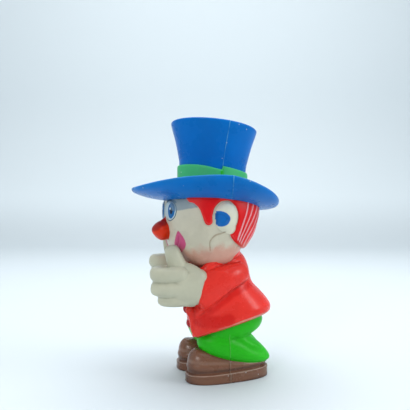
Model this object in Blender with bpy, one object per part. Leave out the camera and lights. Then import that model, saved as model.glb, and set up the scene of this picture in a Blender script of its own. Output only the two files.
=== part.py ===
# A small solid toy clown: flared top hat, thumbs up, flared coat, wide trousers and big shoes.
# It faces -Y, its left side is +X, and it stands on its soles at Z = 0, below the middle of its brim.
import math

import bmesh
import bpy
from mathutils import Matrix, Vector

FIGURE_HEIGHT = 0.0510
CROWN_TOP_RADIUS = 0.0087
CROWN_WAIST_RADIUS = 0.0067
BAND_HEIGHT = 0.0024
BAND_PROUD = 0.0004
BRIM_RADIUS = 0.0148
BRIM_THICKNESS = 0.0012
BRIM_SIDE_LIFT = 0.0029
HEAD_HALF_WIDTH = 0.0094
HAIR_PROUD = 0.0005
NOSE_RADIUS = 0.0021
EAR_HALF_HEIGHT = 0.0029
FINGER_RADIUS = 0.00125
THUMB_RADIUS = 0.00175
BUTTON_RADIUS = 0.0009
SHOE_LENGTH = 0.0168
SHOE_HALF_WIDTH = 0.0036
SOLE_THICKNESS = 0.0015
SOLE_PROUD = 0.0004
SHOE_SPLAY = math.radians(1)

# Free forms are placed in shares of the figure's height, 51 of them from sole to hat.
SHARE = FIGURE_HEIGHT / 51
ROUND = 32
BRIM_CENTRE_Y = -2.2 * SHARE
BRIM_SLOPE = -0.105

PAINTS = {
    "hat_blue": ((0.012, 0.105, 0.44), 0.42),
    "band_green": ((0.025, 0.36, 0.035), 0.42),
    "hair_red": ((0.58, 0.012, 0.012), 0.4),
    "skin_cream": ((0.54, 0.52, 0.4), 0.45),
    "nose_orange": ((0.6, 0.035, 0.01), 0.38),
    "glove_white": ((0.5, 0.51, 0.4), 0.45),
    "coat_red": ((0.68, 0.035, 0.025), 0.42),
    "trouser_green": ((0.03, 0.4, 0.025), 0.42),
    "shoe_brown": ((0.13, 0.05, 0.03), 0.45),
}


def paint(name):
    """One satin vinyl paint."""
    found = bpy.data.materials.get(name)
    if found:
        return found
    color, roughness = PAINTS[name]
    made = bpy.data.materials.new(name)
    made.use_nodes = True
    surface = made.node_tree.nodes["Principled BSDF"]
    surface.inputs["Base Color"].default_value = (*color, 1)
    surface.inputs["Roughness"].default_value = roughness
    surface.inputs["Metallic"].default_value = 0
    return made


def body_of(name, shape, paint_name):
    """A mesh object of a closed bmesh, faces outward."""
    bmesh.ops.recalc_face_normals(shape, faces=shape.faces)
    bmesh.ops.triangulate(shape, faces=shape.faces)
    mesh = bpy.data.meshes.new(name)
    shape.to_mesh(mesh)
    shape.free()
    mesh.materials.append(paint(paint_name))
    made = bpy.data.objects.new(name, mesh)
    made.location.y = -BRIM_CENTRE_Y
    bpy.context.scene.collection.objects.link(made)
    return made


def skinned(name, rings, paint_name):
    """Closed skin over a row of rings, each end closed by a fan round its middle."""
    shape = bmesh.new()
    loops = [[shape.verts.new(point) for point in ring] for ring in rings]
    count = len(loops[0])
    for low, high in zip(loops, loops[1:]):
        for i in range(count):
            j = (i + 1) % count
            shape.faces.new((low[i], low[j], high[j], high[i]))
    for loop in (loops[0], loops[-1]):
        middle = shape.verts.new(sum((v.co for v in loop), Vector()) / count)
        for i in range(count):
            shape.faces.new((loop[i], loop[(i + 1) % count], middle))
    return body_of(name, shape, paint_name)


def oval(z, front, back, half_width, x=0.0, slope=0.0, curl=0.0, power=2.0, count=ROUND):
    """A ring round (x, 0, z) in shares: from Y = front to Y = back, tilted by slope and curled up by curl."""
    middle, reach = (front + back) / 2, (back - front) / 2
    points = []
    for k in range(count):
        angle = 2 * math.pi * k / count
        c, s = math.cos(angle), math.sin(angle)
        size = (abs(c) ** power + abs(s) ** power) ** (-1 / power)
        y = middle + reach * size * s
        points.append(Vector((x + half_width * size * c, y, z + slope * y + curl * y * y)) * SHARE)
    return points


def tube(name, path, radii, paint_name, count=14, squash=1.0, domes=3, depth=1.0):
    """A limb along a path in shares, flattened across X by squash, its ends domed by depth."""
    path = [Vector(point) for point in path]
    stations = []
    for i, point in enumerate(path):
        ahead = path[min(i + 1, len(path) - 1)] - path[max(i - 1, 0)]
        stations.append((point, ahead.normalized(), radii[i]))
    start, end = stations[0], stations[-1]
    dome = [math.pi / 2 * k / (domes + 1) for k in range(1, domes + 1)]
    head = [(start[0] - start[1] * depth * start[2] * math.sin(a), start[1], start[2] * math.cos(a)) for a in reversed(dome)]
    tail = [(end[0] + end[1] * depth * end[2] * math.sin(a), end[1], end[2] * math.cos(a)) for a in dome]
    rings = []
    for point, ahead, radius in head + stations + tail:
        side = ahead.cross(Vector((0.05, 0.1, 1))).normalized()
        up = side.cross(ahead)
        ring = []
        for k in range(count):
            angle = 2 * math.pi * k / count
            offset = (side * math.cos(angle) + up * math.sin(angle)) * radius
            offset.x *= squash
            ring.append((point + offset) * SHARE)
        rings.append(ring)
    return skinned(name, rings, paint_name)


def ball(name, centre, radii, paint_name, turn=0.0, segments=16, rings=10):
    """An ellipsoid at a centre in shares, its radii in metres, turned about X."""
    shape = bmesh.new()
    place = Matrix.Translation(Vector(centre) * SHARE) @ Matrix.Rotation(turn, 4, "X") @ Matrix.Diagonal((*radii, 1))
    bmesh.ops.create_uvsphere(shape, u_segments=segments, v_segments=rings, radius=1, matrix=place)
    return body_of(name, shape, paint_name)


def under_brim(x, y):
    """Height of the brim's underside at a point, all in metres."""
    out = math.hypot(x, y - BRIM_CENTRE_Y)
    share = min(out / BRIM_RADIUS, 1.0)
    side = (x / out) ** 2 if out else 0
    dish = 1.0 * SHARE * max(0.0, (share - 0.5) / 0.5) ** 3
    return 33.75 * SHARE + BRIM_SLOPE * (y + 0.5 * SHARE) + dish + BRIM_SIDE_LIFT * share**2.5 * side


def brim():
    """A dished brim, lifted at the sides, as a closed ring that the crown and head fill."""
    half = BRIM_THICKNESS / 2
    inner = 0.3 * BRIM_RADIUS
    steps = [inner + (BRIM_RADIUS - half - inner) * (k / 5) ** 0.8 for k in range(6)]
    section = [(r, 0.0) for r in steps]
    section += [(BRIM_RADIUS - half + half * math.sin(a), half - half * math.cos(a)) for a in (0.8, math.pi / 2, 2.34)]
    section += [(r, BRIM_THICKNESS) for r in reversed(steps)]
    shape = bmesh.new()
    loops = []
    for k in range(44):
        angle = 2 * math.pi * k / 44
        c, s = math.cos(angle), math.sin(angle)
        loop = []
        for r, rise in section:
            x, y = r * c, BRIM_CENTRE_Y + r * s
            loop.append(shape.verts.new((x, y, under_brim(x, y) + rise)))
        loops.append(loop)
    for k, loop in enumerate(loops):
        after = loops[(k + 1) % len(loops)]
        for i in range(len(section)):
            j = (i + 1) % len(section)
            shape.faces.new((loop[i], loop[j], after[j], after[i]))
    return body_of("brim", shape, "hat_blue")


def crown():
    """The flared crown, its flat top leaning back a little."""
    waist, top = CROWN_WAIST_RADIUS / SHARE, CROWN_TOP_RADIUS / SHARE
    flare = top - waist
    rings = []
    for z, radius in (
        (33.0, waist),
        (41.0, waist + 0.02 * flare),
        (43.6, waist + 0.22 * flare),
        (46.2, waist + 0.53 * flare),
        (48.3, waist + 0.85 * flare),
        (49.2, top),
        (49.5, top - 0.08),
        (49.67, top - 0.4),
    ):
        middle = -0.9 + 0.035 * (z - 34.6)
        rings.append(oval(z, middle - radius, middle + radius, radius, slope=BRIM_SLOPE))
    return skinned("crown", rings, "hat_blue")


def band():
    """The hat band, a little proud of the crown."""
    radius = (CROWN_WAIST_RADIUS + BAND_PROUD) / SHARE
    high = BAND_HEIGHT / SHARE
    rings = []
    for z, out in ((41.0 - high - 3.0, 0.0), (40.7, 0.0), (40.92, -0.12), (41.0, -0.34)):
        rings.append(oval(z, -0.7 - radius - out, -0.7 + radius + out, radius + out, slope=-0.12))
    return skinned("band", rings, "band_green")


def to_brim(ring):
    """A ring moved up into the middle of the brim."""
    return [Vector((p.x, p.y, under_brim(p.x, p.y) + 0.45 * BRIM_THICKNESS)) for p in ring]


def head():
    """Skull and face: a broad jaw, flat in front, its top inside the brim."""
    wide = HEAD_HALF_WIDTH / SHARE
    rings = []
    for z, front, back, share in (
        (22.3, -5.4, 1.6, 0.36),
        (22.7, -6.8, 3.2, 0.54),
        (23.6, -8.5, 4.6, 0.73),
        (25.0, -9.8, 5.5, 0.87),
        (26.8, -10.4, 6.6, 0.96),
        (29.0, -10.6, 7.6, 1.0),
        (31.4, -10.8, 8.1, 1.0),
        (33.0, -10.9, 8.3, 0.99),
    ):
        rings.append(oval(z, front, back, wide * share, power=2.25))
    rings.append(to_brim(oval(34, -10.8, 8.2, wide * 0.96, power=2.25)))
    return skinned("head", rings, "skin_cream")


def hair():
    """Back hair from ear to ear: a shell with curved strands that run to the nape."""
    proud = HAIR_PROUD / SHARE
    wide = HEAD_HALF_WIDTH / SHARE + proud
    rings = []
    for z, edge, back, share in (
        (24.9, 4.4, 5.5, 0.16),
        (26.0, 3.2, 6.7, 0.5),
        (27.3, 1.9, 7.8, 0.78),
        (28.9, 1.0, 8.2, 0.95),
        (30.8, 0.9, 8.5, 1.0),
        (32.4, 0.7, 8.6, 1.0),
        (33.4, 0.2, 8.7, 0.99),
    ):
        ring = []
        for k in range(29):
            angle = math.pi * k / 28
            strand = 1 - 0.018 * (k % 4 == 2) * min(1, (z - 24.5) / 2)
            x = wide * share * math.cos(angle) * strand
            ring.append(Vector((x, edge + (back - edge) * math.sin(angle) ** 0.8 * strand, z)) * SHARE)
        rings.append(ring)
    over_ear = [Vector((p.x, p.y - 3.4 * SHARE * (1 - p.y / (8.7 * SHARE)), p.z)) for p in rings[-1]]
    rings.append(to_brim(over_ear))
    return skinned("hair", rings, "hair_red")


def plate(name, outline, inner_x, paint_name):
    """A slab from X = inner_x out to each outline point's own X, in shares."""
    outer = [Vector(point) * SHARE for point in outline]
    inner = [Vector((inner_x * SHARE, p.y, p.z)) for p in outer]
    return skinned(name, [inner, outer], paint_name)


def sideburn(side):
    """The pointed lock in front of one ear."""
    outline = [
        (side * 8.0, -7.9, 34.9),
        (side * 9.0, -6.2, 33.3),
        (side * 9.6, -5.2, 31.6),
        (side * 9.8, -4.9, 30.2),
        (side * 9.9, -3.9, 30.1),
        (side * 9.9, -3.6, 32.0),
        (side * 9.6, -3.2, 35.1),
    ]
    return plate(f"sideburn_{side}", outline, side * 6.5, "hair_red")


def ear(side):
    """A round ear that stands a little proud."""
    tall = EAR_HALF_HEIGHT
    return ball(f"ear_{side}", (side * 9.3, -1.5, 31.3), (1.7 * SHARE, 0.9 * tall, tall), "skin_cream", 0.2, 16, 8)


def nose():
    """A ball nose drawn out to the front."""
    return ball("nose", (0, -11.1, 29.0), (1.1 * NOSE_RADIUS, 1.05 * NOSE_RADIUS, NOSE_RADIUS), "nose_orange", -0.2)


def coat():
    """Coat body: stand-up collar, then a skirt that flares out behind with a slanting hem."""
    rings = []
    for z, front, back, wide, slope in (
        (23.4, -4.2, 4.6, 4.6, 0.28),
        (23.3, -4.7, 5.3, 5.7, 0.28),
        (22.2, -5.1, 5.9, 6.5, 0.22),
        (20.5, -5.6, 6.3, 7.3, 0.18),
        (18.6, -5.9, 6.6, 7.7, 0.2),
        (16.6, -6.0, 7.2, 7.9, 0.24),
        (14.3, -6.0, 9.0, 8.3, 0.25),
        (12.4, -5.7, 10.2, 8.6, 0.25),
        (11.3, -5.4, 10.6, 8.7, 0.25),
        (10.4, -5.2, 10.4, 8.7, 0.25),
        (9.8, -5.0, 9.9, 8.4, 0.25),
    ):
        rings.append(oval(z, front, back, wide, slope=slope, power=2.2))
    return skinned("coat", rings, "coat_red")


def sleeve(side, back, up):
    """A short wide sleeve, from the shoulder by the elbow to the glove."""
    path = [
        (side * 5.4, 3.4, 20.5),
        (side * 6.6, 1.2, 19.1 + up / 3),
        (side * 6.9, -1.2, 17.7 + up / 2),
        (side * 6.4, -3.4 + back, 16.8 + up),
        (side * 5.9, -5.0 + back, 16.3 + up),
    ]
    return tube(f"sleeve_{side}", path, [2.0, 3.0, 3.7, 4.2, 4.6], "coat_red", count=20, squash=0.7, domes=1, depth=0.3)


def palm(side, back, up):
    """The back of the hand, from the wrist to the knuckles."""
    rings = []
    for y, low, high, wide in (
        (-4.2, 15.6, 20.4, 1.8),
        (-4.9, 14.9, 21.3, 2.8),
        (-6.4, 14.4, 21.8, 3.1),
        (-9.0, 14.5, 21.6, 3.0),
        (-11.6, 14.9, 21.0, 2.5),
    ):
        ring = []
        for k in range(16):
            angle = 2 * math.pi * k / 16
            c, s = math.cos(angle), math.sin(angle)
            size = (abs(c) ** 3 + abs(s) ** 3) ** (-1 / 3)
            z = (low + high) / 2 + (high - low) / 2 * size * s
            ring.append(Vector((side * 5.4 + wide * size * c, y + back, z + up)) * SHARE)
        rings.append(ring)
    return skinned(f"palm_{side}", rings, "glove_white")


def finger(side, back, up, index):
    """One curled finger, counted from the top."""
    z = (20.35, 18.35, 16.5, 15.2)[index] + up
    reach = (0.0, 0.0, 0.1, 1.2)[index] + back
    path = [
        (side * 7.0, -9.8 + reach, z),
        (side * 7.1, -12.2 + reach, z),
        (side * 5.6, -13.4 + reach, z),
        (side * 3.8, -12.6 + reach, z),
        (side * 3.4, -10.6 + reach, z),
    ]
    radius = FINGER_RADIUS / SHARE * (1.15, 1.1, 1.05, 0.85)[index]
    return tube(f"finger_{side}_{index}", path, [radius] * 5, "glove_white", count=8, domes=2)


def thumb(side, back, up):
    """The raised thumb, broad at its root."""
    radius = THUMB_RADIUS / SHARE
    path = [
        (side * 5.3, -7.2 + back, 19.8 + up),
        (side * 5.3, -9.1 + back, 22.0 + up),
        (side * 5.2, -10.0 + back, 24.0 + up),
        (side * 5.1, -10.2 + back, 25.0 + up),
    ]
    return tube(f"thumb_{side}", path, [1.5 * radius, 1.25 * radius, radius, 0.9 * radius], "glove_white")


def bow():
    """A small bow tie under the chin."""
    shapes = []
    for side in (-1, 1):
        path = [(side * 0.2, -6.3, 21.6), (side * 2.2, -6.2, 21.8), (side * 3.7, -5.7, 22.1)]
        shapes.append(tube(f"bow_{side}", path, [0.5, 0.9, 1.1], "hair_red", count=8, domes=1))
    return shapes


def button(index):
    """One coat button on the front."""
    centre = (0, -5.8 + 0.6 * index, 12.0 - 2.4 * index)
    return ball(f"button_{index}", centre, (BUTTON_RADIUS, 0.6 * BUTTON_RADIUS, BUTTON_RADIUS), "hair_red", 0.1, 12, 8)


def seat():
    """Hips and seat of the trousers."""
    rings = []
    for z, front, back, wide in (
        (12.5, -5.0, 8.2, 7.2),
        (10.0, -5.3, 9.6, 7.7),
        (8.6, -5.3, 9.1, 7.6),
        (7.2, -5.0, 7.7, 7.2),
        (6.2, -4.4, 5.6, 6.2),
    ):
        rings.append(oval(z, front, back, wide, power=2.3))
    return skinned("seat", rings, "trouser_green")


def leg(side):
    """One bell-shaped lower leg."""
    rings = []
    for z, front, back, wide, slope, curl in (
        (9.0, -3.4, 5.4, 2.9, 0.0, 0.0),
        (7.6, -4.6, 7.6, 3.4, -0.1, 0.004),
        (6.3, -4.9, 9.0, 3.75, -0.2, 0.008),
        (5.0, -5.0, 9.9, 3.85, -0.27, 0.012),
        (4.35, -4.9, 10.0, 3.7, -0.27, 0.012),
    ):
        rings.append(oval(z, front, back, wide, x=side * 3.9, slope=slope, curl=curl, power=2.3, count=24))
    return skinned(f"leg_{side}", rings, "trouser_green")


def shoe_ring(side, z, inset, slope=0.0, shorten=0.0, count=26):
    """Outline of one splayed shoe at a height, all in metres, drawn in by an inset."""
    half, long = SHOE_HALF_WIDTH - inset, SHOE_LENGTH / 2 - inset - shorten
    turn = side * SHOE_SPLAY
    ring = []
    for k in range(count):
        angle = 2 * math.pi * k / count
        c, s = math.cos(angle), math.sin(angle)
        size = (abs(c) ** 2.5 + abs(s) ** 2.5) ** (-1 / 2.5)
        x = half * size * c * (1 - 0.08 * s)
        y = long * size * s - shorten
        ring.append(Vector((
            side * 4.0 * SHARE + x * math.cos(turn) - y * math.sin(turn),
            1.0 * SHARE + x * math.sin(turn) + y * math.cos(turn),
            z + slope * y,
        )))
    return ring


def sole(side):
    """The proud, flat sole."""
    rings = [
        shoe_ring(side, 0, 0.25 * SOLE_PROUD),
        shoe_ring(side, 0.2 * SOLE_THICKNESS, 0),
        shoe_ring(side, 0.8 * SOLE_THICKNESS, 0),
        shoe_ring(side, SOLE_THICKNESS, 0.4 * SOLE_PROUD),
    ]
    return skinned(f"sole_{side}", rings, "shoe_brown")


def upper(side):
    """The rounded toe cap and the sides above the sole."""
    rings = [
        shoe_ring(side, 0.5 * SOLE_THICKNESS, SOLE_PROUD),
        shoe_ring(side, SOLE_THICKNESS + 0.8 * SHARE, SOLE_PROUD),
        shoe_ring(side, SOLE_THICKNESS + 2.0 * SHARE, 1.4 * SOLE_PROUD, -0.05),
        shoe_ring(side, SOLE_THICKNESS + 2.9 * SHARE, 2.6 * SOLE_PROUD, -0.13, 0.2 * SHARE),
        shoe_ring(side, SOLE_THICKNESS + 3.5 * SHARE, 4.6 * SOLE_PROUD, -0.18, 0.4 * SHARE),
    ]
    return skinned(f"upper_{side}", rings, "shoe_brown")


def parts():
    """Everything that the casting runs together, the trunk first."""
    made = [coat(), head(), hair(), brim(), crown(), band(), nose(), seat(), *bow(), button(0), button(1)]
    for side, back, up in ((1, 0.0, 0.0), (-1, 2.0, 1.4)):
        made += [leg(side), upper(side), sole(side), sideburn(side), ear(side)]
        made += [sleeve(side, back, up), palm(side, back, up), thumb(side, back, up)]
        made += [finger(side, back, up, index) for index in range(4)]
    return made


def fuse(made):
    """One closed body of all the shapes, each keeping its paint."""
    trunk = made[0]
    trunk.name = "clown_figurine"
    for other in made[1:]:
        join = trunk.modifiers.new(other.name, "BOOLEAN")
        join.operation = "UNION"
        join.solver = "EXACT"
        join.material_mode = "TRANSFER"
        join.object = other
        other.hide_render = True
        other.display_type = "WIRE"
    return trunk


for old in list(bpy.data.objects):
    bpy.data.objects.remove(old)
fuse(parts())
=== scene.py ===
import math

import bmesh
import bpy
import numpy as np
from mathutils import Matrix, Vector
from mathutils.bvhtree import BVHTree


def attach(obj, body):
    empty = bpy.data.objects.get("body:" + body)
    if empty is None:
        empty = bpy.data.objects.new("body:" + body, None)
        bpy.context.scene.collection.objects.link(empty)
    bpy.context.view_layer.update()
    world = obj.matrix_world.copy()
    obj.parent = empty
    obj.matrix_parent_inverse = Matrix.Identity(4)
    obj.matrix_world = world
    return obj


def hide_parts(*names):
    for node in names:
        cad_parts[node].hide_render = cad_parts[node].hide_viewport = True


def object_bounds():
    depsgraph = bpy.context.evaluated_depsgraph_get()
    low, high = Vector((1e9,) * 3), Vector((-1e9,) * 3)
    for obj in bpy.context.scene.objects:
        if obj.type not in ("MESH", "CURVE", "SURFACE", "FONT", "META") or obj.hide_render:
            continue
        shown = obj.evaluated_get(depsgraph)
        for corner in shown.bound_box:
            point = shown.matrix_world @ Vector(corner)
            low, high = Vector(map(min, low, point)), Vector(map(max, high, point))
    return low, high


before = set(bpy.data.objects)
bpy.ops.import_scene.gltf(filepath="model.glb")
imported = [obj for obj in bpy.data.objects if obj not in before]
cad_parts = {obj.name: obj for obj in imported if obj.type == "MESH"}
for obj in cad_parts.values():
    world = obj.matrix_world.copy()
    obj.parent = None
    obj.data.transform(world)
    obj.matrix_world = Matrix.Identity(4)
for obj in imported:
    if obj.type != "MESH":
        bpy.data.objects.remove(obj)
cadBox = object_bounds()

# The figure is shaped in millimetres with its parting line near Y = 0, then brought to the frame.
figure = {
    "drawnHeight": 50.58,
    "brimCentreY": -2.2,
    "brimSlope": -0.105,
    "headStep": 0.185,  # mesh step of each remeshed piece
    "bodyStep": 0.205,
    "seamHalf": 0.09,
    "seamProud": 0.07,
}
scale = cadBox[1].z / figure["drawnHeight"]
brimRadius = (cadBox[1].x - cadBox[0].x) / 2 / scale


# Tools for making forms
def eased(rows, steps):  # a smooth run of rows through the given ones
    def along(t, a, b, c, d):
        square, cube = 2 * a - 5 * b + 4 * c - d, 3 * b - a - 3 * c + d
        return 0.5 * (2 * b + (c - a) * t + square * t * t + cube * t**3)

    out = []
    for i in range(len(rows) - 1):
        four = rows[max(i - 1, 0)], rows[i], rows[i + 1], rows[min(i + 2, len(rows) - 1)]
        for s in range(steps):
            out.append([along(s / steps, *values) for values in zip(*four)])
    out.append(list(rows[-1]))
    return out


def ramp(low, high, value):  # 0 at low, easing to 1 at high
    t = np.clip((np.asarray(value, float) - low) / (high - low), 0, 1)
    return t * t * (3 - 2 * t)


def bell(away, width):  # 1 at nothing away, fading to both sides
    return np.exp(-((away / width) ** 2))


def moved(line, side=1, back=0, up=0):  # the same points for the left or right side, shifted
    return [(side * x, y + back, z + up, *rest) for x, y, z, *rest in line]


def inOrder(bm):  # the same form with its faces in one lasting order; extruding gives another each run
    bm.verts.index_update()
    points = [v.co.copy() for v in bm.verts]
    faces = sorted([v.index for v in f.verts] for f in bm.faces)
    bm.free()
    made = bmesh.new()
    verts = [made.verts.new(point) for point in points]
    for face in faces:
        made.faces.new([verts[i] for i in face])
    return made


def circleStack(levels, sides):  # a closed tube of unit circles, one at each whole Z
    bm = bmesh.new()
    bmesh.ops.create_circle(bm, segments=sides, radius=1)
    edges = bm.edges[:]
    for level in range(1, levels):
        made = bmesh.ops.extrude_edge_only(bm, edges=edges)["geom"]
        edges = [g for g in made if isinstance(g, bmesh.types.BMEdge) and g.is_boundary]
        bmesh.ops.translate(bm, vec=(0, 0, 1), verts=[g for g in made if isinstance(g, bmesh.types.BMVert)])
    bmesh.ops.holes_fill(bm, edges=bm.edges[:])
    return bm


def around(power, angle):  # a point on a rounded square of half side 1
    c, s = math.cos(angle), math.sin(angle)
    size = (abs(c) ** power + abs(s) ** power) ** (-1 / power)
    return size * c, size * s


def ovalBody(rows, x=0.0, power=2.2, steps=4, sides=80, reshape=None):
    # rows of height, front, back, half width, slope and curl
    rows = eased(rows, steps)
    bm = circleStack(len(rows), sides)
    for v in bm.verts:
        z, front, back, half, slope, curl = rows[round(v.co.z)]
        c, s = around(power, math.atan2(v.co.y, v.co.x))
        y = (front + back) / 2 + (back - front) / 2 * s
        v.co = (x + half * c, y, z + slope * y + curl * y * y)
        if reshape:
            v.co = reshape(v.co)
    return bm


def limb(rows, squash=1.0, depth=1.0, steps=5, sides=32, power=2.0):
    # rows of centre and radius; the ends are domed by depth
    rows = eased(rows, steps)
    centres = [Vector(row[:3]) for row in rows]
    last = len(rows) - 1
    stations = []
    for i, row in enumerate(rows):
        ahead = (centres[min(i + 1, last)] - centres[max(i - 1, 0)]).normalized()
        stations.append((centres[i], ahead, row[3]))

    def dome(station, way):
        centre, ahead, radius = station
        reach = ahead * way * depth * radius
        turns = [math.pi / 2 * k / 7 for k in range(1, 7)]
        return [(centre + reach * math.sin(a), ahead, radius * math.cos(a)) for a in turns]

    stations = dome(stations[0], -1)[::-1] + stations + dome(stations[-1], 1)
    bm = circleStack(len(stations), sides)
    for v in bm.verts:
        centre, forward, radius = stations[round(v.co.z)]
        side = forward.cross(Vector((0.05, 0.1, 1))).normalized()
        up = side.cross(forward)
        c, s = around(power, math.atan2(v.co.y, v.co.x))
        out = (side * c + up * s) * radius
        out.x *= squash
        v.co = centre + out
    return bm


def ball(centre, radii, turn=0.0, axis="X"):
    bm = bmesh.new()
    place = Matrix.Translation(centre) @ Matrix.Rotation(turn, 4, axis) @ Matrix.Diagonal((*radii, 1))
    bmesh.ops.create_uvsphere(bm, u_segments=40, v_segments=24, radius=1, matrix=place)
    return bm


def turned(profile, sides=144, closed=False):  # a profile of (radius, height) spun round Z
    bm = bmesh.new()
    verts = [bm.verts.new((r, 0, z)) for r, z in profile]
    edges = [bm.edges.new(pair) for pair in zip(verts, verts[1:])]
    if closed:
        edges.append(bm.edges.new((verts[-1], verts[0])))
    fullTurn = {"cent": (0, 0, 0), "axis": (0, 0, 1), "angle": 2 * math.pi}
    bmesh.ops.spin(bm, geom=verts + edges, steps=sides, use_merge=True, **fullTurn)
    bmesh.ops.remove_doubles(bm, verts=bm.verts[:], dist=0.0005)
    bm = inOrder(bm)
    bmesh.ops.recalc_face_normals(bm, faces=bm.faces[:])
    return bm


# Tools for working on a made surface
def joinForms(forms):
    whole = bmesh.new()
    for form in forms:
        part = bpy.data.meshes.new("part")
        form.to_mesh(part)
        whole.from_mesh(part)
        bpy.data.meshes.remove(part)
    return whole


def moulded(casting, step, smoothing):  # one skin round all the forms, as the mould gives it
    whole = joinForms([form for _, form in casting])
    mesh = bpy.data.meshes.new("joined")
    whole.to_mesh(mesh)
    whole.free()
    source = bpy.data.objects.new("joined", mesh)
    bpy.context.scene.collection.objects.link(source)
    skin = source.modifiers.new("skin", "REMESH")
    skin.mode = "VOXEL"
    skin.voxel_size = step
    mesh = bpy.data.meshes.new_from_object(source.evaluated_get(bpy.context.evaluated_depsgraph_get()))
    bpy.data.objects.remove(source)
    bm = bmesh.new()
    bm.from_mesh(mesh)
    bpy.data.meshes.remove(mesh)
    everyWay = {"use_axis_x": True, "use_axis_y": True, "use_axis_z": True}
    for _ in range(smoothing):
        bmesh.ops.smooth_vert(bm, verts=bm.verts[:], factor=0.5, **everyWay)
    return bm


def scoreSeam(bm, point, normal, chosen):  # the mould's parting line: a fine raised line where a plane cuts
    layer = bm.verts.layers.float.get("seam") or bm.verts.layers.float.new("seam")
    point, normal = Vector(point), Vector(normal).normalized()
    for offset in (-figure["seamHalf"], 0, figure["seamHalf"]):
        faces = [f for f in bm.faces if chosen(f.calc_center_median())]
        edges = dict.fromkeys(e for f in faces for e in f.edges)
        verts = dict.fromkeys(v for f in faces for v in f.verts)
        geom = [*faces, *edges, *verts]
        bmesh.ops.bisect_plane(bm, geom=geom, dist=0.004, plane_co=point + normal * offset, plane_no=normal)
    bm.normal_update()
    for v in bm.verts:
        if abs((v.co - point).dot(normal)) < 0.008 and chosen(v.co):
            v[layer] = 1
            v.co += v.normal * figure["seamProud"]


class Surface:  # a mesh's points and normals as arrays, in millimetres
    def __init__(self, bm):
        self.mesh = bpy.data.meshes.new("surface")
        bm.to_mesh(self.mesh)
        bm.free()
        self.points = np.empty(len(self.mesh.vertices) * 3, np.float32)
        self.mesh.vertices.foreach_get("co", self.points)
        self.points = self.points.reshape(-1, 3).astype(float)
        self.edges = np.empty(len(self.mesh.edges) * 2, np.int32)
        self.mesh.edges.foreach_get("vertices", self.edges)
        self.edges = self.edges.reshape(-1, 2)
        self.count = np.bincount(self.edges.ravel(), minlength=len(self.points))[:, None]
        self.update()

    def update(self):
        self.mesh.vertices.foreach_set("co", self.points.ravel())
        self.mesh.update()
        self.normals = np.empty(len(self.points) * 3, np.float32)
        self.mesh.vertex_normals.foreach_get("vector", self.normals)
        self.normals = self.normals.reshape(-1, 3).astype(float)

    def push(self, amount):
        self.points += self.normals * np.asarray(amount)[:, None]

    def averaged(self, values, times):
        a, b = self.edges.T
        size = len(values)
        for _ in range(times):
            total = np.zeros_like(values)
            for axis, column in enumerate(values.T):
                total[:, axis] = np.bincount(a, column[b], size) + np.bincount(b, column[a], size)
            values = 0.5 * values + 0.5 * total / self.count
        return values

    def mark(self, name, values):
        layer = self.mesh.attributes.get(name) or self.mesh.attributes.new(name, "FLOAT", "POINT")
        layer.data.foreach_set("value", np.asarray(values, np.float32))

    def markHollows(self, times):  # above zero in a hollow, below zero on a ridge
        smooth = self.averaged(self.points.copy(), times)
        self.mark("hollow", np.clip(((smooth - self.points) * self.normals).sum(1) / 0.1, -1, 1))


def nearLine(points, line):  # distance to a line, and the share of the way along it
    line = np.array(line, float)
    best, share = np.full(len(points), 1e9), np.zeros(len(points))
    for i in range(len(line) - 1):
        a, b = line[i], line[i + 1]
        t = np.clip((points - a) @ (b - a) / ((b - a) @ (b - a)), 0, 1)
        away = np.linalg.norm(points - a - t[:, None] * (b - a), axis=1)
        share = np.where(away < best, (i + t) / (len(line) - 1), share)
        best = np.minimum(best, away)
    return best, share


def stroke(points, line, width, taper=0.15, steps=6):  # 1 along a line, fading to its sides and ends
    away, share = nearLine(points, eased(line, steps))
    ends = ramp(0, taper, share) * ramp(1, 1 - taper, share) if taper else 1
    return bell(away, width) * ends


def crease(points, line, size):  # a groove or roll along a line, size being its depth and half width
    deep, wide = size
    return deep * stroke(points, line, wide)


def insideOutline(flat, outline, steps=5):  # distance inside a closed smooth outline, minus outside
    loop = [outline[-1], *outline, outline[0], outline[1]]
    loop = np.array(eased(loop, steps)[steps : -steps - 1])
    best, within = np.full(len(flat), 1e9), np.zeros(len(flat), bool)
    for a, b in zip(loop, np.roll(loop, -1, axis=0)):
        if (b - a) @ (b - a) < 1e-12:
            continue
        t = np.clip((flat - a) @ (b - a) / ((b - a) @ (b - a)), 0, 1)
        best = np.minimum(best, np.linalg.norm(flat - a - t[:, None] * (b - a), axis=1))
        if a[1] != b[1]:
            crosses = (a[1] > flat[:, 1]) != (b[1] > flat[:, 1])
            within ^= crosses & (flat[:, 0] < a[0] + (flat[:, 1] - a[1]) / (b[1] - a[1]) * (b[0] - a[0]))
    return np.where(within, best, -best)


def insideOval(flat, centre, radii):  # nearly the distance inside an ellipse
    away = (flat - np.array(centre)) / np.array(radii)
    return (1 - np.linalg.norm(away, axis=1)) * min(radii)


def nearestPaint(points, casting):  # how much nearer each paint's own forms are than the rest
    names = list(dict.fromkeys(paint for paint, _ in casting))
    away = []
    for name in names:
        both = joinForms([form for paint, form in casting if paint == name])
        tree = BVHTree.FromBMesh(both)
        both.free()
        away.append([tree.find_nearest(Vector(p))[3] for p in points])
    away = np.array(away)
    ranked = np.sort(away, axis=0)
    return {
        name: np.clip(np.where(away[i] == ranked[0], ranked[1], ranked[0]) - away[i], -2, 2)
        for i, name in enumerate(names)
    }


# Paint
def link(tree, socket, value):
    if isinstance(value, bpy.types.NodeSocket):
        tree.links.new(value, socket)
    else:
        socket.default_value = value


def addNode(tree, kind, **inputs):
    made = tree.nodes.new(kind)
    for name, value in inputs.items():
        link(tree, made.inputs[name.replace("_", " ")], value)
    return made


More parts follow.
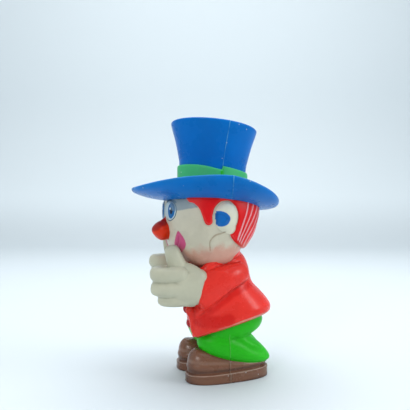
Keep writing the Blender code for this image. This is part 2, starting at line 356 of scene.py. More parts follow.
def calculate(tree, operation, *values):
    made = tree.nodes.new("ShaderNodeMath")
    made.operation = operation
    for socket, value in zip(made.inputs, values):
        link(tree, socket, value)
    return made.outputs[0]


def blendColor(tree, factor, under, over):
    made = tree.nodes.new("ShaderNodeMix")
    made.data_type = "RGBA"
    for socket, value in zip((made.inputs[0], made.inputs[6], made.inputs[7]), (factor, under, over)):
        link(tree, socket, value)
    return made.outputs[2]


def between(tree, value, low, high, start=0.0, end=1.0):
    made = addNode(tree, "ShaderNodeMapRange", Value=value)
    made.interpolation_type = "SMOOTHSTEP"
    for name, number in zip(("From Min", "From Max", "To Min", "To Max"), (low, high, start, end)):
        made.inputs[name].default_value = number
    return made.outputs[0]


def readMark(tree, name):
    made = tree.nodes.new("ShaderNodeAttribute")
    made.attribute_name = name
    return made.outputs["Fac"]


def noise(tree, place, size, detail, rough=0.5):
    made = addNode(tree, "ShaderNodeTexNoise", Vector=place, Scale=size, Detail=detail, Roughness=rough)
    return made.outputs[0]


def speckle(tree, place, size, share):  # small scattered dots, share of the cells that have one
    cells = addNode(tree, "ShaderNodeTexVoronoi", Vector=place, Scale=1 / size)
    dots = between(tree, cells.outputs["Distance"], 0.24, 0.12)
    chance = addNode(tree, "ShaderNodeSeparateColor", Color=cells.outputs["Color"]).outputs[0]
    return calculate(tree, "MULTIPLY", dots, calculate(tree, "LESS_THAN", chance, share))


finish = {
    "edgeSoft": 0.05,  # mm over which one paint gives way to the next
    "edgeWander": 0.14,
    "rough": 0.27,
    "roughSpread": 0.3,
    "specular": 0.18,
    "seamShow": 0.6,
    # the pale that ridges are rubbed towards, as wear and painted sheen, and that the seam is rubbed to
    "worn": (0.55, 0.5, 0.38),
    "wornShare": 0.3,
    "speck": (0.62, 0.68, 0.68),
    "speckSize": 0.00075,
    "speckShare": 0.55,
    # noise scales, from the broadest to the finest
    "cloudScale": 170.0,
    "peelScale": 430.0,
    "streakScale": 520.0,
    "wanderScale": 1100.0,
    "grainScale": 1500.0,
    "bumpStrength": 0.35,
    "bumpDepth": 0.00006,
}


def paintedVinyl(name, base, layers=(), touches=(), ridge=0.3, hollow=0.4, specks=0.04, **changes):
    # layers of (mark, colour, roughness) over the base, then touches of (mark, colour, amount)
    own = {**finish, **changes}
    material = bpy.data.materials.new(name)
    material.use_nodes = True
    tree = material.node_tree
    surface = tree.nodes["Principled BSDF"]
    place = tree.nodes.new("ShaderNodeTexCoord").outputs["Object"]

    wander = noise(tree, place, own["wanderScale"], 2.0)
    wander = calculate(tree, "MULTIPLY", calculate(tree, "SUBTRACT", wander, 0.5), own["edgeWander"])
    color, rough, soft = (*base, 1), own["rough"], own["edgeSoft"]
    for mark, paint, gloss in layers:
        amount = between(tree, calculate(tree, "ADD", readMark(tree, mark), wander), -soft, soft)
        color = blendColor(tree, amount, color, (*paint, 1))
        rough = calculate(tree, "ADD", calculate(tree, "MULTIPLY", amount, gloss - own["rough"]), rough)

    cloudy = noise(tree, place, own["cloudScale"], 4.0, 0.6)
    streaky = noise(tree, place, own["streakScale"], 3.0, 0.55)
    for mark, paint, most in touches:
        ragged = calculate(tree, "ADD", readMark(tree, mark), calculate(tree, "MULTIPLY", streaky, 0.7))
        amount = calculate(tree, "MULTIPLY", between(tree, ragged, 0.62, 1.1), most)
        color = blendColor(tree, amount, color, (*paint, 1))

    # hollows are darkened, as painted shade with some grime; ridges are rubbed lighter, as wear and painted
    # sheen
    level = readMark(tree, "hollow")
    deep = calculate(tree, "MULTIPLY", level, calculate(tree, "ADD", streaky, 0.5))
    deep = between(tree, deep, 0.04, 0.6, 0.0, hollow)
    wearAndSheen = calculate(tree, "MULTIPLY", level, calculate(tree, "ADD", cloudy, -1.5))
    wearAndSheen = between(tree, wearAndSheen, 0.3, 0.9, 0.0, ridge)
    shadeAndGrimeColor = addNode(tree, "ShaderNodeHueSaturation", Color=color, Value=0.45, Saturation=1.1).outputs[0]
    wearAndSheenColor = blendColor(tree, own["wornShare"], color, (*own["worn"], 1))
    color = blendColor(tree, deep, color, shadeAndGrimeColor)
    color = blendColor(tree, wearAndSheen, color, wearAndSheenColor)

    # the parting line is rubbed pale here and there
    shown = between(tree, cloudy, 0.42, 0.62, 0.15, own["seamShow"])
    seam = calculate(tree, "MULTIPLY", readMark(tree, "seam"), shown)
    color = blendColor(tree, seam, color, (*own["worn"], 1))
    dots = speckle(tree, place, own["speckSize"], specks)
    speckled = calculate(tree, "MULTIPLY", dots, own["speckShare"])
    color = blendColor(tree, speckled, color, (*own["speck"], 1))

    tone = between(tree, cloudy, 0.3, 0.7, 0.92, 1.05)
    color = addNode(tree, "ShaderNodeHueSaturation", Color=color, Value=tone).outputs[0]
    tree.links.new(color, surface.inputs["Base Color"])
    patchy = calculate(tree, "MULTIPLY", calculate(tree, "SUBTRACT", cloudy, 0.45), own["roughSpread"])
    tree.links.new(calculate(tree, "ADD", rough, patchy), surface.inputs["Roughness"])

    # orange-peel paint with a few fine grains
    grain = noise(tree, place, own["grainScale"], 3.0)
    peel = noise(tree, place, own["peelScale"], 2.0)
    height = calculate(tree, "ADD", calculate(tree, "MULTIPLY", grain, 0.35), peel)
    height = calculate(tree, "ADD", height, calculate(tree, "MULTIPLY", dots, 0.5))
    strength, depth = own["bumpStrength"], own["bumpDepth"]
    bump = addNode(tree, "ShaderNodeBump", Height=height, Strength=strength, Distance=depth)
    tree.links.new(bump.outputs[0], surface.inputs["Normal"])
    surface.inputs["Specular IOR Level"].default_value = own["specular"]
    return material


def finishPiece(surface, name, material):
    surface.points[:, 1] -= figure["brimCentreY"]
    surface.points *= scale
    surface.update()
    surface.mesh.name = name
    surface.mesh.shade_smooth()
    surface.mesh.materials.append(material)
    piece = bpy.data.objects.new(name, surface.mesh)
    bpy.context.scene.collection.objects.link(piece)
    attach(piece, "root")
    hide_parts("clown_figurine")
    print(name + ":", len(surface.mesh.polygons), "faces")
    return piece


# Hat
hat = {
    "topRadius": 8.7,
    "waistRadius": 6.7,
    "topHeight": 49.67,
    "edgeRound": 0.34,
    # height, and the share of the way from waist to top radius
    "flare": [(34, 0), (41, 0.02), (43.6, 0.22), (46.2, 0.53), (48.3, 0.85), (49.25, 0.985)],
    "crownY": -0.9,
    "crownLean": 0.035,
    "crownFoot": 34.6,
    "crownSeam": ((0, -0.14, 49.5), (0, 1, -0.09)),  # a point and the lie of the parting line's plane
    "bandProud": 0.42,
    # how far the two mould halves miss each other on the band, and how far round that fades
    "bandStep": 0.5,
    "bandRise": 0.35,  # the rear half's share of it
    "bandReach": 2.8,
    "bandLean": 0.12,
    "bandY": -0.7,
    # how far out past the band's radius, and height
    "band": [(0, 35), (0, 38.5), (0.02, 40.5), (0, 40.8), (-0.08, 40.95), (-0.3, 41)],
    "bandSeam": ((0, -0.9, 41), (0, 1, -0.09)),
    "brimHeight": 33.75,
    "brimHole": 4.4,
    "brimThick": 1.15,
    "rimTurns": [0.4, 0.8, 1.2, 1.57, 1.94, 2.34, 2.74],  # radians round the brim's edge
    "sideLift": 2.9,
    "rimDish": 1.0,
    "rimPeak": 0.32,  # the halves meet at a slight angle
    "brimSeam": ((9.6, -0.2, 35), (0.31, 1, 0)),
    "blue": (0.0005, 0.148, 0.5),
    "green": (0.02, 0.46, 0.006),
    # pale cyan that ridges are rubbed towards: wear, and painted sheen along the hat's edges
    "wearAndSheen": (0.2, 0.55, 0.68),
}


def underBrim(x, y):  # height of the brim's underside
    out = np.hypot(x, y - figure["brimCentreY"])
    share = np.minimum(out / brimRadius, 1)
    side = (x / np.maximum(out, 0.01)) ** 2
    dish = hat["rimDish"] * np.maximum(0, (share - 0.5) / 0.5) ** 3
    return hat["brimHeight"] + figure["brimSlope"] * (y + 0.5) + dish + hat["sideLift"] * share**2.5 * side


def makeHat():
    top, waist, edge = hat["topRadius"], hat["waistRadius"], hat["edgeRound"]
    topHeight = hat["topHeight"]
    profile = [(0, 34)] + [(waist + (top - waist) * share, z) for z, share in eased(hat["flare"], 6)]
    for k in range(1, 7):
        angle = math.pi / 2 * k / 6
        profile.append((top - edge + edge * math.cos(angle), topHeight - edge + edge * math.sin(angle)))
    profile += [(r, topHeight + 0.02 * (1 - r / top)) for r in (7.5, 6, 4.5, 3, 1.5, 0)]
    crown = turned(profile)
    for v in crown.verts:
        v.co.y += hat["crownY"] + hat["crownLean"] * (v.co.z - hat["crownFoot"])
        v.co.z += figure["brimSlope"] * v.co.y
    for side in (-1, 1):
        scoreSeam(crown, *hat["crownSeam"], lambda co: co.x * side > 0.5 and co.z > 35)

    half, hole = hat["brimThick"] / 2, hat["brimHole"]
    flat = brimRadius - half
    reach = [hole + (flat - hole) * k / 28 for k in range(29)]
    section = [(r, 0) for r in reach]
    section += [(flat + half * math.sin(a), half - half * math.cos(a)) for a in hat["rimTurns"]]
    section += [(r, hat["brimThick"]) for r in reach[::-1]]
    brim = turned(section, closed=True)
    for v in brim.verts:
        v.co.y += figure["brimCentreY"]
        share = math.hypot(v.co.x, v.co.y - figure["brimCentreY"]) / brimRadius
        v.co.z = v.co.z * (1.2 - 0.35 * share) + float(underBrim(v.co.x, v.co.y))
        v.co.z += hat["rimPeak"] * share**3 * max(1 - abs(v.co.y + 1.6) / 6, 0)
    for side in (-1, 1):
        scoreSeam(brim, *moved(hat["brimSeam"], side), lambda co: co.x * side > 5)

    radius = waist + hat["bandProud"]
    section = [(radius + out, z) for out, z in hat["band"]]
    band = turned([(0, section[0][1]), *section, (0, section[-1][1])], sides=216)
    for v in band.verts:
        away = v.co.y + 0.2
        near = math.exp(-((away / hat["bandReach"]) ** 2))
        drop = hat["bandStep"] * near * (1 if away < 0 else -hat["bandRise"])
        if v.co.z > 40:
            v.co.z -= drop + hat["bandLean"] * v.co.y
        v.co.y += hat["bandY"]
    for side in (-1, 1):
        scoreSeam(band, *hat["bandSeam"], lambda co: co.x * side > 0.5 and co.z > 36)
    parts = [("blue", crown), ("blue", brim), ("green", band)]
    for paint, form in parts:
        layer = form.verts.layers.float.new("bandGreen")
        for v in form.verts:
            v[layer] = 1 if paint == "green" else -1
    surface = Surface(joinForms([form for _, form in parts]))
    surface.markHollows(4)
    material = paintedVinyl(
        "hatVinyl",
        hat["blue"],
        layers=[("bandGreen", hat["green"], 0.38)],
        ridge=0.8,
        hollow=0.25,
        specks=0.05,
        worn=hat["wearAndSheen"],
        specular=0.08,
        seamShow=0.95,
    )
    return finishPiece(surface, "hat", material)


# Head
head = {
    "halfWidth": 9.4,
    # height, front, back, share of the half width
    "rows": [
        (21.4, -4.4, 0.8, 0.24),
        (21.7, -5.8, 2.0, 0.5),
        (22.8, -7.4, 3.0, 0.73),
        (24.6, -8.9, 4.1, 0.87),
        (26.8, -9.85, 5.7, 0.955),
        (29.0, -10.25, 7.0, 1.0),
        (31.4, -10.45, 7.7, 1.0),
        (33.0, -10.5, 8.0, 0.99),
        (35.0, -10.4, 8.1, 0.96),
    ],
    "cream": (0.58, 0.535, 0.415),
    "hairProud": 0.5,
    # the hair's edge in side view, from the forehead by the sideburn and behind the ear to the nape
    "hairEdge": [
        (-7.9, 34.75), (-6.9, 34.05), (-6.05, 33.1), (-5.6, 31.85), (-5.15, 30.5), (-4.7, 30.05),
        (-4.15, 30.1), (-3.8, 30.6), (-3.8, 31.8), (-3.3, 33.3), (-2.0, 34.4), (0.0, 34.2), (0.6, 32.0),
        (0.2, 29.4), (-0.5, 28.5), (0.4, 27.2), (2.3, 25.95), (4.2, 25.3), (6.5, 25.05), (11, 25),
        (11, 38), (-7.9, 38),
    ],
    "hairRed": (0.74, 0.005, 0.008),
    "strandCentreY": 0.7,
    # the angle of each strand from the side to the back, high up and at the nape
    "strands": [(17.5, 1), (27.5, 4), (39, 8), (51.5, 15), (65, 25), (78, 41), (88, 62)],
    "strandProud": 0.17,
    "strandHalf": 0.2,
    "ear": (9.35, -1.15, 31.55),
    "earSize": (1.15, 2.15, 2.75),
    "earTurn": -6,  # degrees
    "lobe": (9.0, -0.65, 29.65),
    "lobeSize": (0.9, 1.3, 1.3),
    "earHollow": 0.55,
    "earPatch": [
        (-3.75, 32.35), (-3.0, 32.65), (-1.9, 32.5), (-0.85, 31.7), (-0.75, 30.9), (-1.3, 30.1),
        (-2.2, 29.75), (-3.2, 29.95), (-3.75, 30.7),
    ],
    "earBlue": (0.002, 0.14, 0.48),
    # the ears are painted a lighter cream than the face, as painted light falling from the side
    "earLitCream": (0.7, 0.68, 0.54),
    "nose": (0, -11.15, 28.85),
    "noseSize": (2.5, 2.1, 1.95),
    "bridge": [(0, 0.1, 0.6, 1.4), (0, 0.6, 1.6, 0.95), (0, 0.95, 2.2, 0.6)],  # from the nose's middle
    "noseRed": (0.7, 0.028, 0.003),
    "noseShadeRed": (0.33, 0.012, 0.008),
    "eyeX": 2.6,
    "eyeZ": 32.75,
    "eyeSize": (2.15, 1.85),
    "eyeProud": 0.28,
    "glance": 0.95,
    "irisSize": (1.1, 1.5),
    "pupilSize": (0.45, 0.6),
    "glintSize": (0.22, 0.26),
    "eyeWhite": (0.5, 0.6, 0.62),
    "eyeBlue": (0.008, 0.12, 0.33),
    "pupil": (0.006, 0.01, 0.03),
    "glint": (0.8, 0.85, 0.85),
    "lash": (0.07, 0.12, 0.16),
    "mouthHalf": [
        (0, 25.2), (2.0, 25.45), (3.3, 26.7), (4.3, 28.0), (5.1, 28.9), (5.9, 28.0), (6.25, 27.0),
        (6.0, 26.1), (5.0, 25.2), (3.0, 24.1), (0, 23.7),
    ],
    "mouthProud": 0.22,
    "mouthPink": (0.58, 0.085, 0.21),
    "smile": [(-5.2, 27.9), (-4.7, 26.8), (-3.2, 25.5), (0, 24.6), (3.2, 25.5), (4.7, 26.8), (5.2, 27.9)],
    "smileSize": (0.22, 0.22),  # depth and half width
    "brow": [(1.0, 34.5), (2.6, 34.85), (4.5, 34.3)],
    "browHalf": 0.22,
    "jaw": [
        (9.5, -0.9, 29.0), (9.4, -1.9, 28.55), (9.2, -3.3, 28.1), (8.85, -4.15, 26.95), (8.3, -3.95, 25.4),
        (7.1, -3.8, 23.8),
    ],
    "jawSize": (0.12, 0.17),
    "strandPale": (0.8, 0.42, 0.45),
    "jawBrown": (0.3, 0.2, 0.12),
    "blushPink": (0.6, 0.22, 0.16),
    "brimShade": (0.16, 0.24, 0.3),
    "tuckedIn": 0.5,  # how far the head runs up into the brim
}


def underHat(co):  # keeps what runs up into the hat inside the brim
    co.z = min(co.z, float(underBrim(co.x, co.y)) + head["tuckedIn"])
    return co


def makeHead():
    casting = []
    wide = head["halfWidth"]
    rows = [(z, front, back, wide * share, 0, 0) for z, front, back, share in head["rows"]]
    casting.append(("skin", ovalBody(rows, power=2.25, steps=6, sides=120, reshape=underHat)))
    for side in (-1, 1):
        ear, lobe = moved([head["ear"], head["lobe"]], side)
        casting.append(("ear", ball(ear, head["earSize"], turn=math.radians(head["earTurn"]))))
        casting.append(("ear", ball(lobe, head["lobeSize"])))
    tip = ball((0, 0, 0), head["noseSize"])
    for v in tip.verts:
        ahead = max(-v.co.y / head["noseSize"][1], 0)
        v.co.x *= 1 - 0.4 * ahead**2
        v.co.z = v.co.z * (1 - 0.35 * ahead**2) + 0.15 * ahead
        v.co += Vector(head["nose"])
    casting.append(("nose", tip))
    _, y, z = head["nose"]
    casting.append(("nose", limb(moved(head["bridge"], back=y, up=z), steps=4)))
    for _, form in casting:
        bmesh.ops.recalc_face_normals(form, faces=form.faces[:])
    surface = Surface(moulded(casting, figure["headStep"], 3))
    p = surface.points
    nearest = nearestPaint(p, casting)
    for _, form in casting:
        form.free()
    flank = p[:, [1, 2]].copy()
    face = p[:, [0, 2]].copy()
    front = ramp(-6.5, -7.5, p[:, 1])  # 1 on the front of the face
    isEar, isNose = nearest["ear"], nearest["nose"]

    hair = np.minimum(insideOutline(flank, head["hairEdge"], steps=4), -isEar)
    raised = ramp(-0.12, 0.3, hair)
    behind = ramp(-1.5, 1.0, flank[:, 0])
    angle = np.degrees(np.arctan2(flank[:, 0] - head["strandCentreY"], np.abs(face[:, 0])))
    fall = ramp(34.5, 25.6, flank[:, 1]) ** 0.8
    reach = np.hypot(face[:, 0], flank[:, 0] - head["strandCentreY"])
    strands = np.zeros(len(p))
    for high, low in head["strands"]:
        away = np.radians(angle - (high + (low - high) * fall)) * reach
        strands = np.maximum(strands, bell(away, head["strandHalf"]))
    strands *= ramp(0.15, 0.7, hair) * behind
    surface.push(head["hairProud"] * raised + head["strandProud"] * (strands - 0.45 * raised * behind))

    dish = np.where(isEar > -0.1, insideOutline(flank, head["earPatch"]), -1)
    surface.push(-head["earHollow"] * ramp(-0.25, 0.7, dish) * (np.abs(face[:, 0]) > 9))

    def onFace(group):
        return np.minimum(np.where(front > 0, np.max(group, axis=0), -1), -isNose - 0.1)

    sides = [(side * head["eyeX"], head["eyeZ"]) for side in (-1, 1)]
    glance = [(x + head["glance"], z - 0.1) for x, z in sides]
    eye = onFace([insideOval(face, centre, head["eyeSize"]) for centre in sides])
    iris = np.minimum(onFace([insideOval(face, centre, head["irisSize"]) for centre in glance]), eye - 0.12)
    pupil = onFace([insideOval(face, (x + 0.1, z), head["pupilSize"]) for x, z in glance])
    glint = onFace([insideOval(face, (x - 0.3, z + 0.45), head["glintSize"]) for x, z in glance])
    browLines = [eased([(side * x, z) for x, z in head["brow"]], 4) for side in (-1, 1)]
    brow = onFace([head["browHalf"] - nearLine(face, line)[0] for line in browLines])
    half = head["mouthHalf"]
    mouth = onFace([insideOutline(face, half + [(-x, z) for x, z in half[-2:0:-1]])])
    deep, wide = head["smileSize"]
    smile = bell(nearLine(face, eased(head["smile"], 6))[0], wide) * front * ramp(-0.1, 0.3, mouth)
    proud = head["eyeProud"] * ramp(-0.1, 0.35, eye) + head["mouthProud"] * ramp(-0.15, 0.4, mouth)
    surface.push(proud - deep * smile)

    deep, wide = head["jawSize"]
    jaw = np.max([stroke(p, moved(head["jaw"], side), wide) for side in (-1, 1)], axis=0)
    surface.push(-deep * jaw)
    p[:, 2] = np.minimum(p[:, 2], underBrim(p[:, 0], p[:, 1]) + head["tuckedIn"])
    surface.update()

    surface.mark("hair", hair)
    surface.mark("earBlue", dish)
    surface.mark("nose", isNose)
    surface.mark("ear", isEar)
    # the nose's upper front is painted darker, as painted shade
    surface.mark("noseTopShade", ramp(-0.9, 0.9, flank[:, 1] - 29.3 - 0.5 * (flank[:, 0] + 12)) * (isNose > 0))
    surface.mark("eyeRim", eye + 0.16)
    painted = {"eye": eye, "iris": iris, "pupil": pupil, "glint": glint, "brow": brow, "mouth": mouth}
    for name, values in painted.items():
        surface.mark(name, values)
    surface.mark("jaw", jaw)
    # the raised strands are painted paler, as worn paint and painted highlight
    surface.mark("strand", strands)
    surface.mark("blush", 1.05 * ramp(29.4, 22.8, flank[:, 1] - 0.12 * flank[:, 0]))
    # a painted shadow of the brim across the forehead, with a little blue overspray
    shade = ramp(0, 0.8, flank[:, 1] - 32.6 - 0.2 * (flank[:, 0] + 8)) * ramp(-10.4, -9.6, flank[:, 0])
    surface.mark("brimShadow", 1.1 * shade * (hair < 0) * (isEar < 0) * ramp(-4.0, -5.0, flank[:, 0]))
    surface.markHollows(6)
    material = paintedVinyl(
        "headVinyl",
        head["cream"],
        layers=[
            ("hair", head["hairRed"], 0.32),
            ("ear", head["earLitCream"], 0.34),
            ("earBlue", head["earBlue"], 0.34),
            ("nose", head["noseRed"], 0.28),
            ("eyeRim", head["lash"], 0.34),
            ("eye", head["eyeWhite"], 0.3),
            ("iris", head["eyeBlue"], 0.26),
            ("pupil", head["pupil"], 0.24),
            ("glint", head["glint"], 0.26),
            ("brow", head["lash"], 0.36),
            ("mouth", head["mouthPink"], 0.34),
        ],
        touches=[
            ("noseTopShade", head["noseShadeRed"], 0.8),
            ("strand", head["strandPale"], 0.8),
            ("jaw", head["jawBrown"], 0.5),
            ("blush", head["blushPink"], 0.65),
            ("brimShadow", head["brimShade"], 0.7),
        ],
        ridge=0.25,
        hollow=0.3,
        specks=0.0,
    )
    return finishPiece(surface, "head", material)


# Coat, arms and trousers
coat = {
    # height, front, back, half width, slope, curl
    "rows": [
        (23.0, -3.6, 3.6, 4.0, 0.28, 0),
        (23.0, -4.6, 4.9, 5.5, 0.28, 0),
        (22.0, -5.0, 5.7, 6.5, 0.24, 0),
        (20.5, -5.5, 6.3, 7.3, 0.18, 0),
        (18.6, -5.8, 6.6, 7.7, 0.2, 0),
        (16.8, -5.9, 7.2, 7.9, 0.25, -0.002),
        (15.1, -6.0, 8.55, 8.25, 0.3, -0.008),
        (13.7, -6.0, 9.95, 8.5, 0.33, -0.014),
        (12.5, -6.0, 11.05, 8.8, 0.34, -0.019),
        (11.35, -6.0, 10.95, 8.85, 0.365, -0.021),
        (10.8, -5.9, 10.3, 8.6, 0.37, -0.0215),
    ],
    "hem": (11.1, 0.37, -0.0215),  # height, slope and curl
    "hemHalf": 0.3,
    "collarFront": [(0, -6.0, 20.4), (3.4, -5.6, 20.5)],
    "collar": [(5.9, -4.3, 21.2), (6.15, -2.6, 22.9), (5.9, 0.0, 23.9), (4.2, 2.5, 24.6), (0, 3.9, 25.0)],
    "collarThick": 1.0,
    # creases and rolls in the cloth, each size a depth and a half width
    "underSleeve": [
        (5.64, 4.99, 19.34), (7.44, 2.76, 18.71), (8.17, -0.18, 17.26), (7.96, -2.49, 15.48),
        (7.42, -4.28, 14.18), (6.16, -4.86, 13.22), (4.86, -5.64, 12.24),
    ],
    "underSleeveSize": (0.2, 0.42),
    "sleeveRollSize": (0.14, 0.4),
    "underCollar": [
        (7.01, -4.15, 22.08), (7.06, -2.17, 22.73), (6.5, 0.4, 22.8), (5.98, 2.32, 22.83),
        (5.26, 3.66, 22.97),
    ],
    "underCollarSize": (0.17, 0.2),
    "sleeveFold": [(7.62, -4.93, 21.32), (7.5, -3.32, 21.34), (8.09, -1.94, 21.35), (8.3, -0.43, 21.23)],
    "sleeveFoldSize": (0.14, 0.3),
    # low on the side, where the red is painted deeper as painted shade
    "coatShade": [(5.8, -5.14, 11.65), (7.67, -2.79, 11.89), (8.53, -0.12, 12.4)],
    "cutawayTop": 12.8,
    "cutawayDeep": 2.6,
    "twist": -0.16,
    # the rolled front edges of the skirt, near and far
    "edges": [
        [
            (4.1, -6.7, 13.7, 0.85), (3.8, -6.1, 12.5, 0.8), (3.6, -5.6, 11.2, 0.95),
            (3.5, -5.4, 9.9, 0.95), (3.8, -5.3, 9.3, 0.8),
        ],
        [
            (-3.4, -5.2, 13.9, 0.7), (-3.3, -4.6, 12.6, 0.85), (-3.2, -4.2, 11.2, 1.0),
            (-3.3, -4.1, 9.9, 1.0), (-3.6, -4.1, 9.2, 0.9),
        ],
    ],
    "buttons": [(0.2, -6.35, 15.6), (0.1, -6.3, 13.2), (0.0, -5.6, 10.3)],
    "buttonRadius": 0.95,
    "bow": [(0.2, -6.9, 21.3, 0.5), (1.8, -6.8, 21.5, 0.9), (3.4, -6.2, 21.9, 1.2), (3.9, -5.9, 22.1, 1.1)],
    "knot": (0, -7.2, 21.3),
    "knotSize": (0.75, 0.6, 0.8),
    "red": (0.8, 0.035, 0.024),
    "shadeRed": (0.66, 0.012, 0.008),
    "rubbedPink": (0.66, 0.4, 0.3),
    "bowRed": (0.42, 0.006, 0.01),
}
arms = {
    "left": {"side": 1, "back": 0.0, "up": 0.0},
    "right": {"side": -1, "back": 2.0, "up": 1.4},
    "sleeve": [
        (5.6, 3.6, 20.9, 1.9),
        (6.6, 1.2, 20.1, 2.5),
        (6.9, -1.2, 19.2, 2.95),
        (6.4, -3.0, 18.1, 3.5),
        (6.1, -4.4, 17.3, 3.75),
        (6.0, -5.9, 16.4, 3.4),
    ],
    "sleeveFollow": [0, 0.33, 0.5, 0.9, 1, 1],  # how much each station shares the hand's place
    "palmX": 5.5,
    # place from back to front, foot, top and half width
    "palm": [
        (-4.75, 15.2, 21.2, 2.4), (-5.4, 14.8, 21.7, 3.1), (-6.4, 14.7, 21.9, 3.3), (-9.0, 14.9, 21.7, 3.1),
        (-11.4, 15.2, 21.3, 2.6),
    ],
    "palmLean": 0.22,  # the glove's back end leans forward as it goes down
    "fingerHeights": [20.95, 18.3, 16.1],
    "fingerReach": [0, 0.1, 1.1],
    "fingerRadii": [1.38, 1.36, 1.02],
    "finger": [(7.2, -9.4), (7.2, -12.0), (5.7, -13.25), (3.9, -12.6), (3.4, -10.6)],
    "thumb": [
        (5.4, -8.0, 19.8, 2.1), (5.5, -9.2, 21.8, 1.85), (5.3, -9.9, 23.6, 1.65), (5.1, -10.3, 24.9, 1.5),
    ],
    "web": [(5.6, -8.8, 21.9, 1.4), (6.4, -7.2, 21.3, 1.5), (7.0, -5.8, 20.3, 1.5)],
    "cream": (0.51, 0.5, 0.378),
}
trousers = {
    "seat": [
        (12.6, -5.0, 8.6, 7.2, 0, 0),
        (11.2, -5.3, 9.4, 7.7, 0, 0),
        (9.8, -5.3, 8.9, 7.6, 0, 0),
        (8.8, -5.2, 7.6, 7.3, 0, 0),
        (8.0, -5.0, 6.0, 7.0, 0, 0),
        (6.8, -4.4, 4.4, 6.2, 0, 0),
    ],
    "leg": [
        (9.4, -3.4, 4.6, 2.9, 0, 0),
        (8.3, -4.5, 5.9, 3.3, -0.06, 0),
        (7.3, -4.9, 7.8, 3.7, -0.14, 0.004),
        (6.2, -5.0, 9.3, 3.85, -0.22, 0.008),
        (5.3, -5.0, 9.9, 3.85, -0.27, 0.012),
        (4.8, -4.8, 9.8, 3.65, -0.27, 0.012),
        (4.2, -4.2, 9.0, 3.0, -0.27, 0.012),
    ],
    "legX": 3.9,
    "rightBack": 1.3,  # the right leg stands a little further back
    "fold": [
        (7.4, 0.7, 8.7), (7.2, 2.1, 7.8), (7.2, 3.5, 6.9), (7.2, 5.0, 6.0), (6.8, 6.8, 5.2),
        (6.2, 8.2, 4.7),
    ],
    "foldSize": (0.22, 0.8),
    "foldRollSize": (0.14, 0.7),
    "seam": ((0, 0.3, 0), (0, 1, 0)),
    "green": (0.016, 0.45, 0.006),
}


def cutaway(co):  # the coat opens below its last button, and turns a little to the left hand
    if co.y < 0:
        opened = float(ramp(coat["cutawayTop"], coat["cutawayTop"] - 2.4, co.z - 0.25 * co.y))
        co.y += coat["cutawayDeep"] * opened * math.exp(-((co.x / 2.4) ** 4))
        co.y += coat["twist"] * co.x * float(ramp(0, -4, co.y))
    return co


def castArm(casting, hand):
    side, back, up = hand["side"], hand["back"], hand["up"]
    rows = [
        (side * x, y + back * share, z + up * share, radius)
        for (x, y, z, radius), share in zip(arms["sleeve"], arms["sleeveFollow"])
    ]
    casting.append(("coat", limb(rows, squash=0.66, depth=0.16, sides=72)))
    rows = eased(arms["palm"], 5)
    palm = circleStack(len(rows), 48)
    for v in palm.verts:
        y, low, high, wide = rows[round(v.co.z)]
        c, s = around(2.8, math.atan2(v.co.y, v.co.x))
        z = (low + high) / 2 + (high - low) / 2 * s
        lean = arms["palmLean"] * max(20 - z, 0) * float(ramp(-9, -5, y))
        v.co = (side * arms["palmX"] + wide * c, y - lean + back, z + up)
    casting.append(("glove", palm))
    for z, reach, radius in zip(arms["fingerHeights"], arms["fingerReach"], arms["fingerRadii"]):
        rows = [(side * x, y + reach + back, z + up, radius) for x, y in arms["finger"]]
        casting.append(("glove", limb(rows, power=2.6)))
    for name in ("thumb", "web"):
        casting.append(("glove", limb(moved(arms[name], side, back, up), sides=40)))


